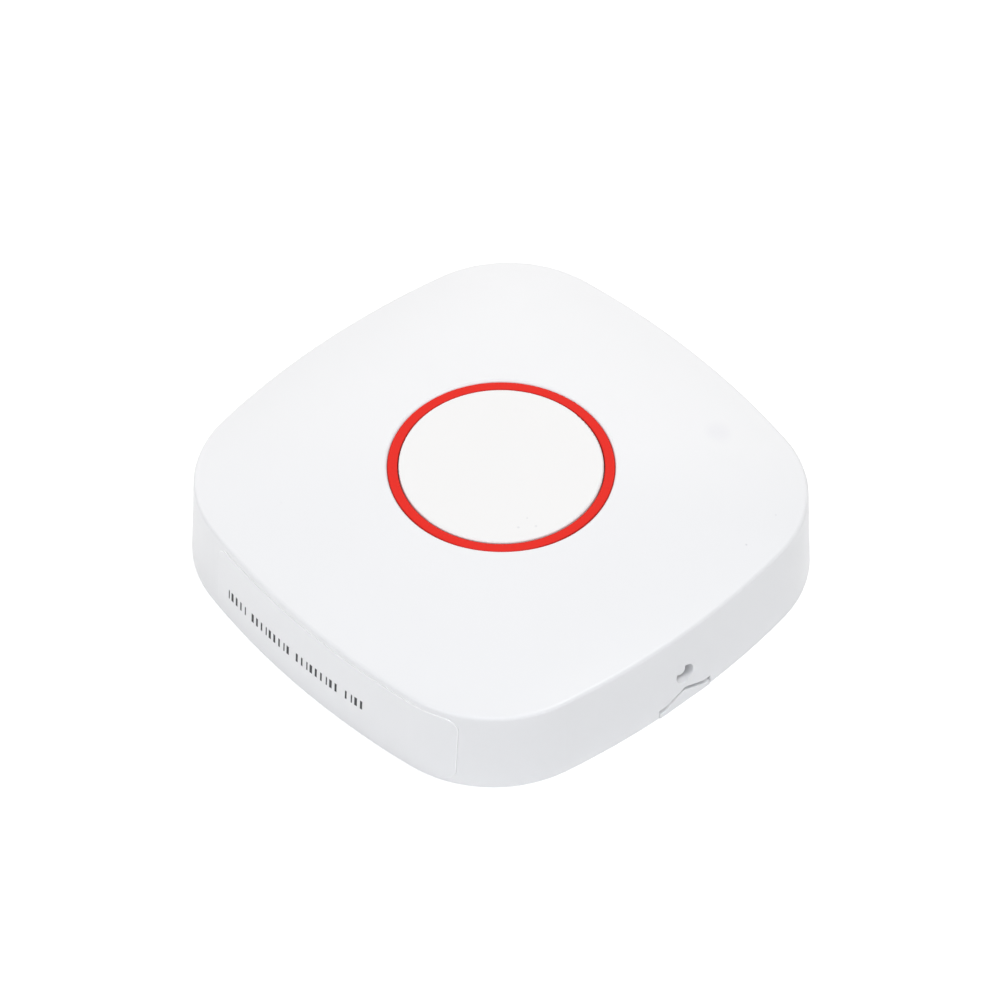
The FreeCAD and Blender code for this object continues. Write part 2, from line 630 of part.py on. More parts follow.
def add_wall_openings(body):
    """The pry notch and the bean-shaped lanyard eyelet, both through the +X wall."""
    start = "case_half - 2 * wall_thickness"
    notch = new_sketch(body, "notch", "YZ_Plane", offset=start)
    draw_notch(notch, "0", "0")
    extrude(body, notch, "3 * wall_thickness", cut=True, reverse=True)
    eyelet = new_sketch(body, "eyelet", "YZ_Plane", offset=start)
    along = "eyelet_chord_along"
    across = "eyelet_chord_across"
    first = (f"{along} * cos(eyelet_lobe_angle) - {across} * sin(eyelet_lobe_angle)",
             f"eyelet_height + {along} * sin(eyelet_lobe_angle) + {across} * cos(eyelet_lobe_angle)")
    last = (f"{along} * cos(eyelet_lobe_angle) + {across} * sin(eyelet_lobe_angle)",
            f"eyelet_height + {along} * sin(eyelet_lobe_angle) - {across} * cos(eyelet_lobe_angle)")
    far = ("-eyelet_radius * cos(eyelet_lobe_angle)",
           "eyelet_height - eyelet_radius * sin(eyelet_lobe_angle)")
    draw_loop(eyelet, [first + ("eyelet_radius", 1), far + ("eyelet_radius", 1),
                       last + ("eyelet_lobe_radius", -1)])
    extrude(body, eyelet, "3 * wall_thickness", cut=True, reverse=True)


def make_front_cover():
    body = make_front_shell()
    add_opening(body)
    add_bosses(body)
    add_board_ribs(body)
    add_light_socket(body)
    add_snap_pockets(body)
    add_wall_openings(body)
    bed = boolean("Part::Cut", "label_bed", label_window("label_bed_window", "label_margin"),
                  wall_block("label_bed_wall", "label_recess"))
    return boolean("Part::Cut", "front_cover", body, bed)


def make_side_label():
    skin = boolean("Part::Common", "label_skin", label_window("label_window", "0"),
                   wall_block("label_face_wall", "(label_recess - label_thickness)"))
    return boolean("Part::Cut", "side_label", skin, wall_block("label_back_wall", "label_recess"))


# Rear cover: plate with a snap rim, a tongue for the notch, and holes for wall screws and lanyard

def make_rear_cover():
    body = new_body("rear_cover")
    plate = new_sketch(body, "plate")
    draw_case_outline(plate, "plate_inset")
    extrude(body, plate, "rear_thickness")
    rim = new_sketch(body, "rim", offset="rear_thickness")
    draw_case_outline(rim, "rim_inset")
    draw_case_outline(rim, "rim_inset + rim_thickness")
    extrude(body, rim, "rim_height")

    catches = []
    for name, place in (("snap_right", "snap_offset"), ("snap_left", "-snap_offset")):
        snap = new_sketch(body, name, "XZ_Plane", offset=place)
        root = "snap_root - rim_thickness / 2"
        tip = "snap_root + snap_reach"
        draw_loop(snap, [
            (root, "snap_foot"), (tip, "snap_foot"), (tip, "snap_foot + snap_height / 3"),
            ("snap_root", "rim_top"), (root, "rim_top")])
        catches.append(extrude(body, snap, "snap_width", middle=True))
    ring_pattern(body, "snaps", catches, SIDE_COUNT)

    cradle = new_sketch(body, "cell_cradle", offset="rear_thickness")
    draw_circle(cradle, "0", "0", "holder_bore + brace_thickness")
    draw_circle(cradle, "0", "0", "holder_bore")
    extrude(body, cradle, "brace_height")
    brace = new_sketch(body, "brace", offset="rear_thickness")
    side = "brace_thickness / (2 * sqrt(2))"
    draw_loop(brace, [
        (f"brace_start + {side}", f"brace_start - {side}"),
        (f"brace_end + {side}", f"brace_end - {side}"),
        (f"brace_end - {side}", f"brace_end + {side}"),
        (f"brace_start - {side}", f"brace_start + {side}")])
    ring_pattern(body, "braces", [extrude(body, brace, "brace_height")], SIDE_COUNT)

    lanyard_break = new_sketch(body, "lanyard_break", offset="rear_thickness")
    draw_box(lanyard_break, "case_half - rim_inset - 2 * rim_thickness", "-lanyard_gap_half_width",
             "case_half", "lanyard_gap_half_width")
    extrude(body, lanyard_break, "2 * rim_height", cut=True, reverse=True)
    tongue = new_sketch(body, "tongue", "YZ_Plane", offset="case_half - plate_inset - wall_thickness / 2")
    draw_notch(tongue, "tongue_gap", "tongue_top_gap")
    extrude(body, tongue, "plate_inset + wall_thickness / 2 - tongue_setback")
    slope = new_sketch(body, "tongue_slope", "XZ_Plane")
    face = "case_half - tongue_setback"
    draw_loop(slope, [
        (face, "0"), (face, "notch_apex"), (f"{face} - notch_apex * tan(tongue_lean)", "notch_apex")])
    extrude(body, slope, "2 * notch_half_width", cut=True, middle=True)

    holes = new_sketch(body, "rear_holes")
    draw_circle(holes, "0", "mount_spacing / 2", "mount_hole_radius")
    draw_circle(holes, "0", "-mount_spacing / 2", "mount_hole_radius")
    draw_circle(holes, "case_half - lanyard_exit_inset", "0", "lanyard_exit_radius")
    extrude(body, holes, "rear_thickness", cut=True, reverse=True)
    return body


# Push button and its ring

def make_button_ring():
    body = new_body("button_ring")
    section = new_sketch(body, "ring_section", "XZ_Plane")
    soft = "ring_edge_radius"
    draw_loop(section, [
        ("ring_inner_radius", "ledge_top"), ("ring_outer_radius", "ledge_top"),
        ("ring_outer_radius", f"ring_top - {soft}", soft, 1),
        (f"ring_outer_radius - {soft}", "ring_top"),
        (f"ring_inner_radius + {soft}", "ring_top", soft, 1),
        ("ring_inner_radius", f"ring_top - {soft}")])
    revolve(body, section)
    return body


def make_button_cap():
    body = new_body("button_cap")
    section = new_sketch(body, "cap_section", "XZ_Plane")
    face = "(button_radius - button_edge_radius)"
    bore = "button_radius - button_skirt_thickness"
    draw_loop(section, [
        ("0", "switch_top"), ("button_post_radius", "switch_top"),
        ("button_post_radius", "button_ceiling"), (bore, "button_ceiling"), (bore, "flange_bottom"),
        ("flange_radius", "flange_bottom"), ("flange_radius", "flange_top"),
        ("button_radius", "flange_top"),
        ("button_radius", "button_rim - button_edge_radius", "button_edge_radius", 1),
        (face, "button_rim", f"({face} ^ 2 + button_dome ^ 2) / (2 * button_dome)", 1),
        ("0", "button_rim + button_dome")])
    revolve(body, section)
    rib = new_sketch(body, "cap_rib", offset="button_ceiling - button_rib_depth")
    draw_box(rib, "button_post_radius / 2", "-button_rib_thickness / 2",
             "button_radius - button_skirt_thickness / 2", "button_rib_thickness / 2")
    rib_pad = extrude(body, rib, "button_rib_depth + button_face_thickness / 2")
    ring_pattern(body, "cap_ribs", [rib_pad], "button_rib_count")
    return body


# Board and its screws

def make_main_board():
    body = new_body("main_board")
    outline = new_sketch(body, "board_outline", offset="board_bottom")
    draw_case_outline(outline, "board_inset")
    extrude(body, outline, "board_thickness")
    hole = new_sketch(body, "board_hole", offset="board_bottom")
    draw_circle(hole, "boss_place", "boss_place", "board_hole_radius")
    hole_cut = extrude(body, hole, "board_thickness", cut=True, reverse=True)
    ring_pattern(body, "board_holes", [hole_cut], "screw_count")
    return body


def make_board_screws():
    body = new_body("board_screws")
    section = new_sketch(body, "screw_section", "XZ_Plane", offset="-boss_place")
    head = "boss_place + screw_head_radius"
    head_bottom = "board_bottom - screw_head_height"
    shank = "boss_place + screw_radius"
    end = "board_bottom + screw_length"
    draw_loop(section, [
        ("boss_place", head_bottom), ("boss_place + screw_head_radius / 2", head_bottom),
        (head, "board_bottom - screw_head_height / 2"), (head, "board_bottom"),
        (shank, "board_bottom"), (shank, f"{end} - screw_radius / 2"),
        ("boss_place + screw_radius / 2", end), ("boss_place", end)])
    low = FreeCAD.Vector(value("boss_place"), value(head_bottom), 0)
    high = FreeCAD.Vector(value("boss_place"), value(end), 0)
    axis = section.addGeometry(Part.LineSegment(low, high), True)
    pin_point(section, axis, 1, "boss_place", head_bottom)
    pin_point(section, axis, 2, "boss_place", end)
    turned = revolve(body, section, axis="Axis0")
    recess = new_sketch(body, "screw_recess", offset=head_bottom)
    arm = "screw_head_radius / 2"
    half = "screw_slot_width / 2"
    corners = []
    for x_sign, y_sign in (("+", "+"), ("-", "+"), ("-", "-"), ("+", "-")):
        out = [(f"boss_place {x_sign} {arm}", f"boss_place {y_sign} {half}"),
               (f"boss_place {x_sign} {half}", f"boss_place {y_sign} {half}"),
               (f"boss_place {x_sign} {half}", f"boss_place {y_sign} {arm}")]
        corners += out if x_sign == y_sign else out[::-1]
    draw_loop(recess, corners)
    recess_cut = extrude(body, recess, "screw_slot_depth", cut=True, reverse=True)
    ring_pattern(body, "all_screws", [turned, recess_cut], "screw_count")
    return body


# Tactile switch under the button's post

def make_switch_body():
    body = new_body("switch_body")
    block = new_sketch(body, "switch_block", offset="board_top")
    half = "switch_width / 2"
    draw_box(block, f"-{half}", f"-{half}", half, half, "switch_corner_radius")
    extrude(body, block, "switch_body_height - switch_frame_thickness")
    well = new_sketch(body, "switch_well", offset="dome_seat")
    draw_circle(well, "0", "0", "switch_well_radius")
    extrude(body, well, "switch_body_height", cut=True, reverse=True)
    return body


def make_switch_frame():
    """The bent metal cover: a plate with a hole, and a tab down two sides of the body."""
    body = new_body("switch_frame")
    plate = new_sketch(body, "frame_plate", offset="frame_bottom")
    reach = "(switch_width / 2 + switch_frame_thickness)"
    half = "switch_width / 2"
    draw_box(plate, f"-{half}", f"-{reach}", half, reach)
    draw_circle(plate, "0", "0", "switch_plunger_radius + switch_plunger_gap")
    extrude(body, plate, "switch_frame_thickness")
    tabs = new_sketch(body, "frame_tabs", offset="frame_bottom")
    draw_box(tabs, f"-{half} / 2", half, f"{half} / 2", reach)
    draw_box(tabs, f"-{half} / 2", f"-{reach}", f"{half} / 2", f"-{half}")
    extrude(body, tabs, "switch_body_height / 2", reverse=True)
    return body


def make_switch_plunger():
    body = new_body("switch_plunger")
    section = new_sketch(body, "plunger_section", "XZ_Plane")
    stem = "switch_plunger_radius"
    flange = "switch_plunger_radius + switch_plunger_flange"
    draw_loop(section, [
        ("0", "plunger_bottom"), (flange, "plunger_bottom"), (flange, "plunger_flange_top"),
        (stem, "plunger_flange_top"), (stem, "switch_top"), ("0", "switch_top")])
    revolve(body, section)
    return body


def make_snap_dome():
    body = new_body("snap_dome")
    section = new_sketch(body, "dome_section", "XZ_Plane")
    outer = "dome_radius"
    rise = "dome_height"
    curve = f"({outer} ^ 2 + {rise} ^ 2) / (2 * {rise})"
    inner = f"({outer} - dome_thickness)"
    inner_rise = f"({rise} - dome_thickness)"
    inner_curve = f"({inner} ^ 2 + {inner_rise} ^ 2) / (2 * {inner_rise})"
    draw_loop(section, [
        (inner, "dome_seat"), (outer, "dome_seat", curve, 1), ("0", f"dome_seat + {rise}"),
        ("0", f"dome_seat + {inner_rise}", inner_curve, -1)])
    revolve(body, section)
    return body


def make_switch_terminals():
    """Four bent leads, two on each side of the switch body, soldered flat to the board."""
    body = new_body("switch_terminals")
    side = "switch_width / 2"
    gauge = "terminal_thickness"
    tip = f"{side} + terminal_reach"
    riser = "board_top + switch_body_height / 2"
    for name, place in (("terminal_front", "terminal_spacing / 2"),
                        ("terminal_back", "-terminal_spacing / 2")):
        lead = new_sketch(body, name, "XZ_Plane", offset=place)
        draw_loop(lead, [
            (side, "board_top"), (tip, "board_top"), (tip, f"board_top + {gauge}"),
            (f"{side} + {gauge}", f"board_top + {gauge}"),
            (f"{side} + {gauge}", riser), (side, riser)])
        draw_loop(lead, [
            (f"-{side}", "board_top"), (f"-{side}", riser), (f"-{side} - {gauge}", riser),
            (f"-{side} - {gauge}", f"board_top + {gauge}"),
            (f"-({tip})", f"board_top + {gauge}"), (f"-({tip})", "board_top")])
        extrude(body, lead, "terminal_width", middle=True)
    return body


# Coin cell, its holder and its two contacts, under the board

def make_coin_cell():
    body = new_body("coin_cell")
    section = new_sketch(body, "cell_section", "XZ_Plane")
    soft = "cell_edge_radius"
    shoulder = "(cell_top - cell_cap_height)"
    draw_loop(section, [
        ("0", "cell_bottom"), (f"cell_radius - {soft}", "cell_bottom", soft, 1),
        ("cell_radius", f"cell_bottom + {soft}"), ("cell_radius", f"{shoulder} - {soft}", soft, 1),
        (f"cell_radius - {soft}", shoulder), ("cell_cap_radius", shoulder),
        ("cell_cap_radius", "cell_top"), ("0", "cell_top")])
    revolve(body, section)
    return body


def make_battery_holder():
    body = new_body("battery_holder")
    base = new_sketch(body, "holder_base_disc", offset="holder_floor")
    draw_circle(base, "0", "0", "holder_radius")
    extrude(body, base, "holder_base")
    wall = new_sketch(body, "holder_ring", offset="cell_bottom + holder_lip")
    draw_circle(wall, "0", "0", "holder_radius")
    draw_circle(wall, "0", "0", "holder_bore")
    extrude(body, wall, "cell_height + contact_gap - holder_lip")
    mouth = new_sketch(body, "finger_mouth", offset="cell_bottom")
    draw_box(mouth, "-2 * holder_radius", "-holder_mouth / 2", "0", "holder_mouth / 2")
    extrude(body, mouth, "cell_height + contact_gap", cut=True, reverse=True)
    windows = new_sketch(body, "contact_windows", offset="cell_bottom")
    half = "contact_width / 2 + contact_window_gap"
    reach = "contact_span + contact_foot + contact_window_gap"
    draw_box(windows, f"-({reach})", f"-({half})", reach, half)
    draw_box(windows, "cell_radius - contact_window_gap", f"-({half})", "2 * holder_radius", half)
    extrude(body, windows, "2 * cell_height", cut=True, reverse=True)
    return body


def make_negative_contact():
    """A shallow bridge of spring sheet: its middle rests on the cell's cap."""
    body = new_body("negative_contact")
    section = new_sketch(body, "negative_section", "XZ_Plane")
    end = "(contact_span + contact_foot)"
    bend = "contact_span"
    pad = "contact_width / 2"
    low = "board_bottom - contact_thickness"
    touch = "cell_top + contact_touch"
    over = f"{touch} + contact_thickness"
    draw_loop(section, [
        (f"-{end}", low), (f"-{bend}", low), (f"-{pad}", touch), (pad, touch), (bend, low),
        (end, low), (end, "board_bottom"), (bend, "board_bottom"), (pad, over), (f"-{pad}", over),
        (f"-{bend}", "board_bottom"), (f"-{end}", "board_bottom")])
    extrude(body, section, "contact_width", middle=True)
    return body


def make_positive_contact():
    """An angle of spring sheet: its leg stands against the cell's can."""
    body = new_body("positive_contact")
    section = new_sketch(body, "positive_section", "XZ_Plane")
    inside = "cell_radius + contact_touch"
    outside = f"{inside} + contact_thickness"
    foot_end = "holder_radius + contact_foot"
    foot_low = "board_bottom - contact_thickness"
    leg_end = "cell_bottom + holder_lip"
    draw_loop(section, [
        (inside, leg_end), (outside, leg_end), (outside, foot_low), (foot_end, foot_low),
        (foot_end, "board_bottom"), (inside, "board_bottom")])
    extrude(body, section, "contact_width", middle=True)
    return body


# Status light

def make_status_led():
    body = new_body("status_led")
    lamp = new_sketch(body, "led_outline", offset="board_top")
    draw_box(lamp, "light_x - led_length / 2", "light_y - led_width / 2",
             "light_x + led_length / 2", "light_y + led_width / 2")
    extrude(body, lamp, "led_height")
    return body


def make_light_pipe():
    body = new_body("light_pipe")
    rod = new_sketch(body, "pipe_outline", offset="led_top + light_air")
    draw_circle(rod, "light_x", "light_y", "light_pipe_radius")
    extrude(body, rod, "light_ceiling - led_top - 2 * light_air")
    return body


# Parts on the board's upper face

def make_radio_can():
    body = new_body("radio_can")
    outline = new_sketch(body, "can_outline", offset="board_top")
    reach = "radio_width / 2"
    half = "radio_length / 2"
    draw_box(outline, f"-radio_centre - {reach}", f"-{half}", f"-radio_centre + {reach}", half)
    extrude(body, outline, "radio_height")
    top = value("board_top + radio_height")
    round_edges(body, "can_edge", "radio_wall", lambda edge: level(edge, top))
    hollow = new_sketch(body, "can_hollow", offset="board_top")
    draw_box(hollow, f"-radio_centre - {reach} + radio_wall", f"-{half} + radio_wall",
             f"-radio_centre + {reach} - radio_wall", f"{half} - radio_wall")
    extrude(body, hollow, "radio_height - radio_wall", cut=True, reverse=True)
    return body


def make_processor():
    body = new_body("processor")
    outline = new_sketch(body, "chip_outline", offset="board_top")
    half = "chip_width / 2"
    draw_box(outline, f"-{half}", f"chip_centre - {half}", half, f"chip_centre + {half}")
    extrude(body, outline, "chip_height")
    mark = new_sketch(body, "chip_mark", offset="board_top + chip_height")
    draw_circle(mark, "-chip_width / 3", "chip_centre + chip_width / 3", "chip_width / 12")
    extrude(body, mark, "chip_height / 8", cut=True)
    return body


def make_crystal():
    body = new_body("crystal")
    outline = new_sketch(body, "crystal_outline", offset="board_top")
    right = "-chip_width / 2 - crystal_gap"
    draw_box(outline, f"{right} - crystal_length", "chip_centre - crystal_width / 2",
             right, "chip_centre + crystal_width / 2", "crystal_width / 4")
    extrude(body, outline, "crystal_height")
    return body


def make_capacitors():
    body = new_body("capacitors")
    outline = new_sketch(body, "capacitor_outline", offset="board_top")
    start = "-capacitor_pitch * (capacitor_count - 1) / 2"
    draw_box(outline, f"{start} - capacitor_width / 2", "-capacitor_centre - capacitor_length / 2",
             f"{start} + capacitor_width / 2", "-capacitor_centre + capacitor_length / 2")
    block = extrude(body, outline, "capacitor_height")
    pattern = body.newObject("PartDesign::LinearPattern", "capacitor_row")
    pattern.Originals = [block]
    pattern.Direction = (origin_part(body, "X_Axis"), [""])
    drive(pattern, "Length", "capacitor_pitch * (capacitor_count - 1)")
    drive(pattern, "Occurrences", "capacitor_count")
    body.Tip = pattern
    doc.recompute()
    return body


def make_antenna():
    """A staple of round wire that stands on two pads of the board."""
    body = new_body("antenna")
    spine = new_sketch(body, "antenna_spine", "XZ_Plane", offset="antenna_centre")
    top = "board_top + antenna_height"
    bend = "antenna_bend_radius"
    reach = "antenna_half_length"
    route = [(f"-{reach}", "board_top"), (f"-{reach}", f"{top} - {bend}", bend, -1),
             (f"-{reach} + {bend}", top), (f"{reach} - {bend}", top, bend, -1),
             (reach, f"{top} - {bend}"), (reach, "board_top")]
    draw_path(spine, route)
    end = new_sketch(body, "antenna_end", offset="board_top")
    draw_circle(end, f"-{reach}", "-antenna_centre", "antenna_wire_radius")
    wire = body.newObject("PartDesign::AdditivePipe", "antenna_wire")
    wire.Profile = end
    wire.Spine = spine
    doc.recompute()
    return body


NODES = {
    "front_cover": make_front_cover(),
    "rear_cover": make_rear_cover(),
    "side_label": make_side_label(),
    "button_ring": make_button_ring(),
    "button_cap": make_button_cap(),
    "main_board": make_main_board(),
    "board_screws": make_board_screws(),
    "switch_body": make_switch_body(),
    "switch_frame": make_switch_frame(),
    "switch_plunger": make_switch_plunger(),
    "snap_dome": make_snap_dome(),
    "switch_terminals": make_switch_terminals(),
    "coin_cell": make_coin_cell(),
    "battery_holder": make_battery_holder(),
    "negative_contact": make_negative_contact(),
    "positive_contact": make_positive_contact(),
    "status_led": make_status_led(),
    "light_pipe": make_light_pipe(),
    "radio_can": make_radio_can(),
    "processor": make_processor(),
    "crystal": make_crystal(),
    "capacitors": make_capacitors(),
    "antenna": make_antenna(),
}

doc.recompute()
for thing in doc.Objects:
    if {"Invalid", "Error"} & set(thing.State):
        raise RuntimeError(f"{thing.Label} failed: {thing.State}")
for name, thing in NODES.items():
    if thing.Shape.isNull() or not thing.Shape.isValid() or not thing.Shape.Solids:
        raise RuntimeError(f"{name} has no valid solid")

os.makedirs("parts", exist_ok=True)
for name, thing in NODES.items():
    thing.Label = name
    thing.Shape.exportStep(f"parts/{name}.step")
    box = thing.Shape.BoundBox
    print(f"{name}: {len(thing.Shape.Solids)} solid, {thing.Shape.Volume:.2f} mm3,"
          f" x {box.XMin:.2f} {box.XMax:.2f}, y {box.YMin:.2f} {box.YMax:.2f},"
          f" z {box.ZMin:.2f} {box.ZMax:.2f}")
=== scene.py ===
import math

import bpy
from mathutils import Matrix, Vector
from mathutils.bvhtree import BVHTree


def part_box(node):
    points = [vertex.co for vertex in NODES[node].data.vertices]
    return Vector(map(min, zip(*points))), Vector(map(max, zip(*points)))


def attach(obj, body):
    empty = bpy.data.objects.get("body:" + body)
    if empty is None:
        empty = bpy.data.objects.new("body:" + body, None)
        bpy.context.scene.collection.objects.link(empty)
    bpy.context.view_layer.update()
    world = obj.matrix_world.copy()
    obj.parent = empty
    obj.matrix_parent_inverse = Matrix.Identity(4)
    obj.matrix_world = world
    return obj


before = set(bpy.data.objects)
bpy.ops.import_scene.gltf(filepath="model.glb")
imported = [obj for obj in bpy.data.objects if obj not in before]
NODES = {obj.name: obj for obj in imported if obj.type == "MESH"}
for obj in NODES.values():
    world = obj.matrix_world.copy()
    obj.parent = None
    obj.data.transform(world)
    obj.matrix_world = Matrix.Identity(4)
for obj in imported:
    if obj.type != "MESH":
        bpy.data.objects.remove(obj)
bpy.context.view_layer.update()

MM = 0.001

# Camera: the viewing angle that the photograph was taken from, in degrees, and the lens in mm
CAMERA_AZIMUTH = 47.336
CAMERA_ELEVATION = 48.209
CAMERA_ROLL = 0.192
CAMERA_DISTANCE = 917 * MM
CAMERA_RIGHT = -0.1 * MM
CAMERA_UP = 5.84 * MM
CAMERA_LENS = 286.06

# Lamps: name, direction, width in metres, watts and colour
LAMPS = (
    ("key_lamp", (0.335, 0.268, 0.9), 0.35, 5.4, (1.0, 1.0, 1.0)),
    ("far_lamp", (-0.52, 0.62, 0.5), 0.9, 3.15, (1.0, 0.975, 0.93)),
    ("side_lamp", (-0.9, -0.1, 0.4), 0.9, 2.75, (1.0, 0.985, 0.97)),
    ("left_lamp", (-0.03, -0.86, 0.45), 0.7, 2.85, (1.0, 0.99, 0.98)),
    ("front_lamp", (0.42, -0.45, 0.79), 0.7, 5.1, (0.9, 0.94, 1.0)),
)
LAMP_DISTANCE = 1.2

# World and floor. The floor lies just below the base, so that the two faces don't meet.
WORLD_STRENGTH = 0.15
FLOOR_SIZE = 3.0
FLOOR_HEIGHT = -0.02 * MM
FLOOR_SHADE = 0.85
FLOOR_GLOW = 0.5

# Moulded plastic: how many clouds of shade and gloss there are to the metre
SHADE_SCALE = 90
GLOSS_SCALE = 400
GLOSS_SPREAD = 0.05

# The ring's face: radius of its middle line, half its width, and the width of its edges that get painted
# shade
RING_MIDDLE = 12.425 * MM
RING_HALF_FACE = 0.605 * MM
RING_SHADED_EDGE = 0.14 * MM

# Light behind the crown: it shows as an oval, two soft spots side by side, each given as x and y
LIGHT_SPOTS = ((11.65 * MM, 23.1 * MM), (12.25 * MM, 22.5 * MM))
LIGHT_RADIUS = 1.9 * MM
LIGHT_STRENGTH = 0.18

# Specks of dirt: x, y, radius and strength
CASE_SPECKS = (
    (26.1 * MM, 13.8 * MM, 0.16 * MM, 0.45),
    (25.0 * MM, 19.5 * MM, 0.14 * MM, 0.3),
    (-13.6 * MM, -21.5 * MM, 0.14 * MM, 0.15),
)
BUTTON_SPECKS = (
    (8.34 * MM, -5.01 * MM, 0.2 * MM, 0.35),
    (9.54 * MM, -3.4 * MM, 0.2 * MM, 0.3),
    (8.0 * MM, -3.34 * MM, 0.15 * MM, 0.3),
)

# Print on the side label: a line of plain upright bars that rises to the right
PRINT_LEFT = -13.2 * MM
PRINT_RIGHT = 10.4 * MM
PRINT_BOTTOM = 3.79 * MM
PRINT_HEIGHT = 1.3 * MM
PRINT_RISE = 0.03
PRINT_PROUD = 0.012 * MM
PRINT_ROOT = 0.03 * MM
PRINT_SECTIONS = 5

# Widths and gaps of the bars, taken in turn, in mm. One gap in nine, the fifth, is wider.
BAR_WIDTHS = (0.185, 0.395, 0.325, 0.255)
BAR_GAPS = (0.36, 0.46, 0.56, 0.66)
GROUP_SIZE = 9
GROUP_END = 4
GROUP_GAP = 0.75

# Glossy edge of the label's film, which carries a painted glint: its section as steps outward and depths
# below the face, in mm
LABEL_CORNER = 1.5 * MM
CORNER_STEPS = 6
EDGE_STEP = 0.5 * MM
EDGE_INSET = 0.1 * MM
EDGE_SECTION = ((-0.03, 0.0), (0.01, 0.003), (0.04, 0.02), (0.06, 0.05), (0.075, 0.13), (-0.03, 0.13))


def srgb(red, green, blue):
    """A colour as read in the photograph, 0 to 255, as the linear values that a shader takes."""
    linear = []
    for level in (red, green, blue):
        share = level / 255
        linear.append(share / 12.92 if share <= 0.04045 else ((share + 0.055) / 1.055) ** 2.4)
    return (*linear, 1.0)


def darker(colour, share):
    return (*(level * (1 - share) for level in colour[:3]), 1.0)


def add_object(name, data):
    added = bpy.data.objects.new(name, data)
    bpy.context.scene.collection.objects.link(added)
    return added


# Camera

def view_axes(azimuth, elevation, roll):
    """Unit vectors from the object to the camera, to the image's right and to its top."""
    turn = math.radians(azimuth)
    rise = math.radians(elevation)
    back = Vector((math.sin(turn) * math.cos(rise), -math.cos(turn) * math.cos(rise), math.sin(rise)))
    level_right = Vector((math.cos(turn), math.sin(turn), 0))
    level_up = back.cross(level_right)
    tilt = math.radians(roll)
    right = level_right * math.cos(tilt) + level_up * math.sin(tilt)
    up = level_up * math.cos(tilt) - level_right * math.sin(tilt)
    return back, right, up


def make_camera():
    back, right, up = view_axes(CAMERA_AZIMUTH, CAMERA_ELEVATION, CAMERA_ROLL)
    data = bpy.data.cameras.new("camera")
    data.lens = CAMERA_LENS
    data.sensor_width = 36
    data.clip_start = 0.05
    data.clip_end = 20
    camera = add_object("camera", data)
    camera.location = back * CAMERA_DISTANCE + right * CAMERA_RIGHT + up * CAMERA_UP
    camera.rotation_mode = "QUATERNION"
    camera.rotation_quaternion = Matrix((right, up, back)).transposed().to_quaternion()
    bpy.context.scene.camera = camera


# Materials

class NodeTree:
    """The node tree of a material or a world, with short calls to add nodes and join them."""

    def __init__(self, owner):
        owner.use_nodes = True
        self.tree = owner.node_tree

    def add(self, kind, inputs=None, **settings):
        node = self.tree.nodes.new(kind)
        for key, value in settings.items():
            setattr(node, key, value)
        for key, value in (inputs or {}).items():
            self.feed(node.inputs[key], value)
        return node

    def feed(self, socket, value):
        if isinstance(value, bpy.types.NodeSocket):
            self.tree.links.new(value, socket)
        else:
            socket.default_value = value

    def maths(self, operation, first, second=0.0):
        return self.add("ShaderNodeMath", {0: first, 1: second}, operation=operation).outputs[0]

    def spread(self, value, low, high, start=0.0, end=1.0):
        """A value that goes from start to end, moved to the range from low to high."""
        inputs = {"Value": value, "From Min": start, "From Max": end, "To Min": low, "To Max": high}
        return self.add("ShaderNodeMapRange", inputs).outputs["Result"]

    def seen_directly(self):
        """One for camera, glossy and transmission rays, else nought."""
        path = self.add("ShaderNodeLightPath").outputs
        first = self.maths("MAXIMUM", path["Is Camera Ray"], path["Is Glossy Ray"])
        return self.maths("MAXIMUM", first, path["Is Transmission Ray"])


class Shader(NodeTree):
    """A material whose patterns follow the place on the object, in metres."""

    def __init__(self, name):
        self.material = bpy.data.materials.new(name)
        super().__init__(self.material)
        self.surface = self.tree.nodes["Principled BSDF"]

    def surface_feed(self, **values):
        """Values or links for the surface's sockets, spaces in their names written as _."""
        for name, value in values.items():
            self.feed(self.surface.inputs[name.replace("_", " ")], value)

    def place(self):
        return self.add("ShaderNodeTexCoord").outputs["Object"]

    def noise(self, scale, detail=2.0, vector=None):
        inputs = {"Vector": vector or self.place(), "Scale": scale, "Detail": detail}
        return self.add("ShaderNodeTexNoise", inputs).outputs["Fac"]

    def blend(self, factor, first, second):
        inputs = {"Factor": factor, "A": first, "B": second}
        return self.add("ShaderNodeMix", inputs, data_type="RGBA").outputs["Result"]

    def distance(self, point):
        node = self.add("ShaderNodeVectorMath", {0: self.place(), 1: point}, operation="DISTANCE")
        return node.outputs["Value"]

    def off_axis(self):
        """Distance from the upright axis through the button's middle."""
        flat = self.add("ShaderNodeVectorMath", {0: self.place(), 1: (1, 1, 0)}, operation="MULTIPLY")
        length = self.add("ShaderNodeVectorMath", {0: flat.outputs["Vector"]}, operation="LENGTH")
        return length.outputs["Value"]

    def spot(self, colour, point, radius, tint, strength):
        """The colour with a soft round spot of another one laid over it."""
        share = self.spread(self.distance(point), strength, 0.0, radius * 0.4, radius)
        return self.blend(share, colour, tint)

    def bump(self, height, distance):
        node = self.add("ShaderNodeBump", {"Height": height, "Distance": distance, "Strength": 1.0})
        self.surface_feed(Normal=node.outputs["Normal"])


def plastic(name, colour, roughness, grain_size, grain_depth, shade=0.02, spots=()):
    """Moulded plastic: faint cloudy shade, uneven gloss and the fine grain of the mould."""
    shader = Shader(name)
    tone = shader.blend(shader.noise(SHADE_SCALE), darker(colour, shade), colour)
    for point, radius, tint, strength in spots:
        tone = shader.spot(tone, point, radius, tint, strength)
    gloss = shader.spread(shader.noise(GLOSS_SCALE, 3), roughness - GLOSS_SPREAD,
                          roughness + GLOSS_SPREAD)
    shader.surface_feed(Base_Color=tone, Roughness=gloss)
    shader.bump(shader.noise(1 / grain_size), grain_depth)
    return shader


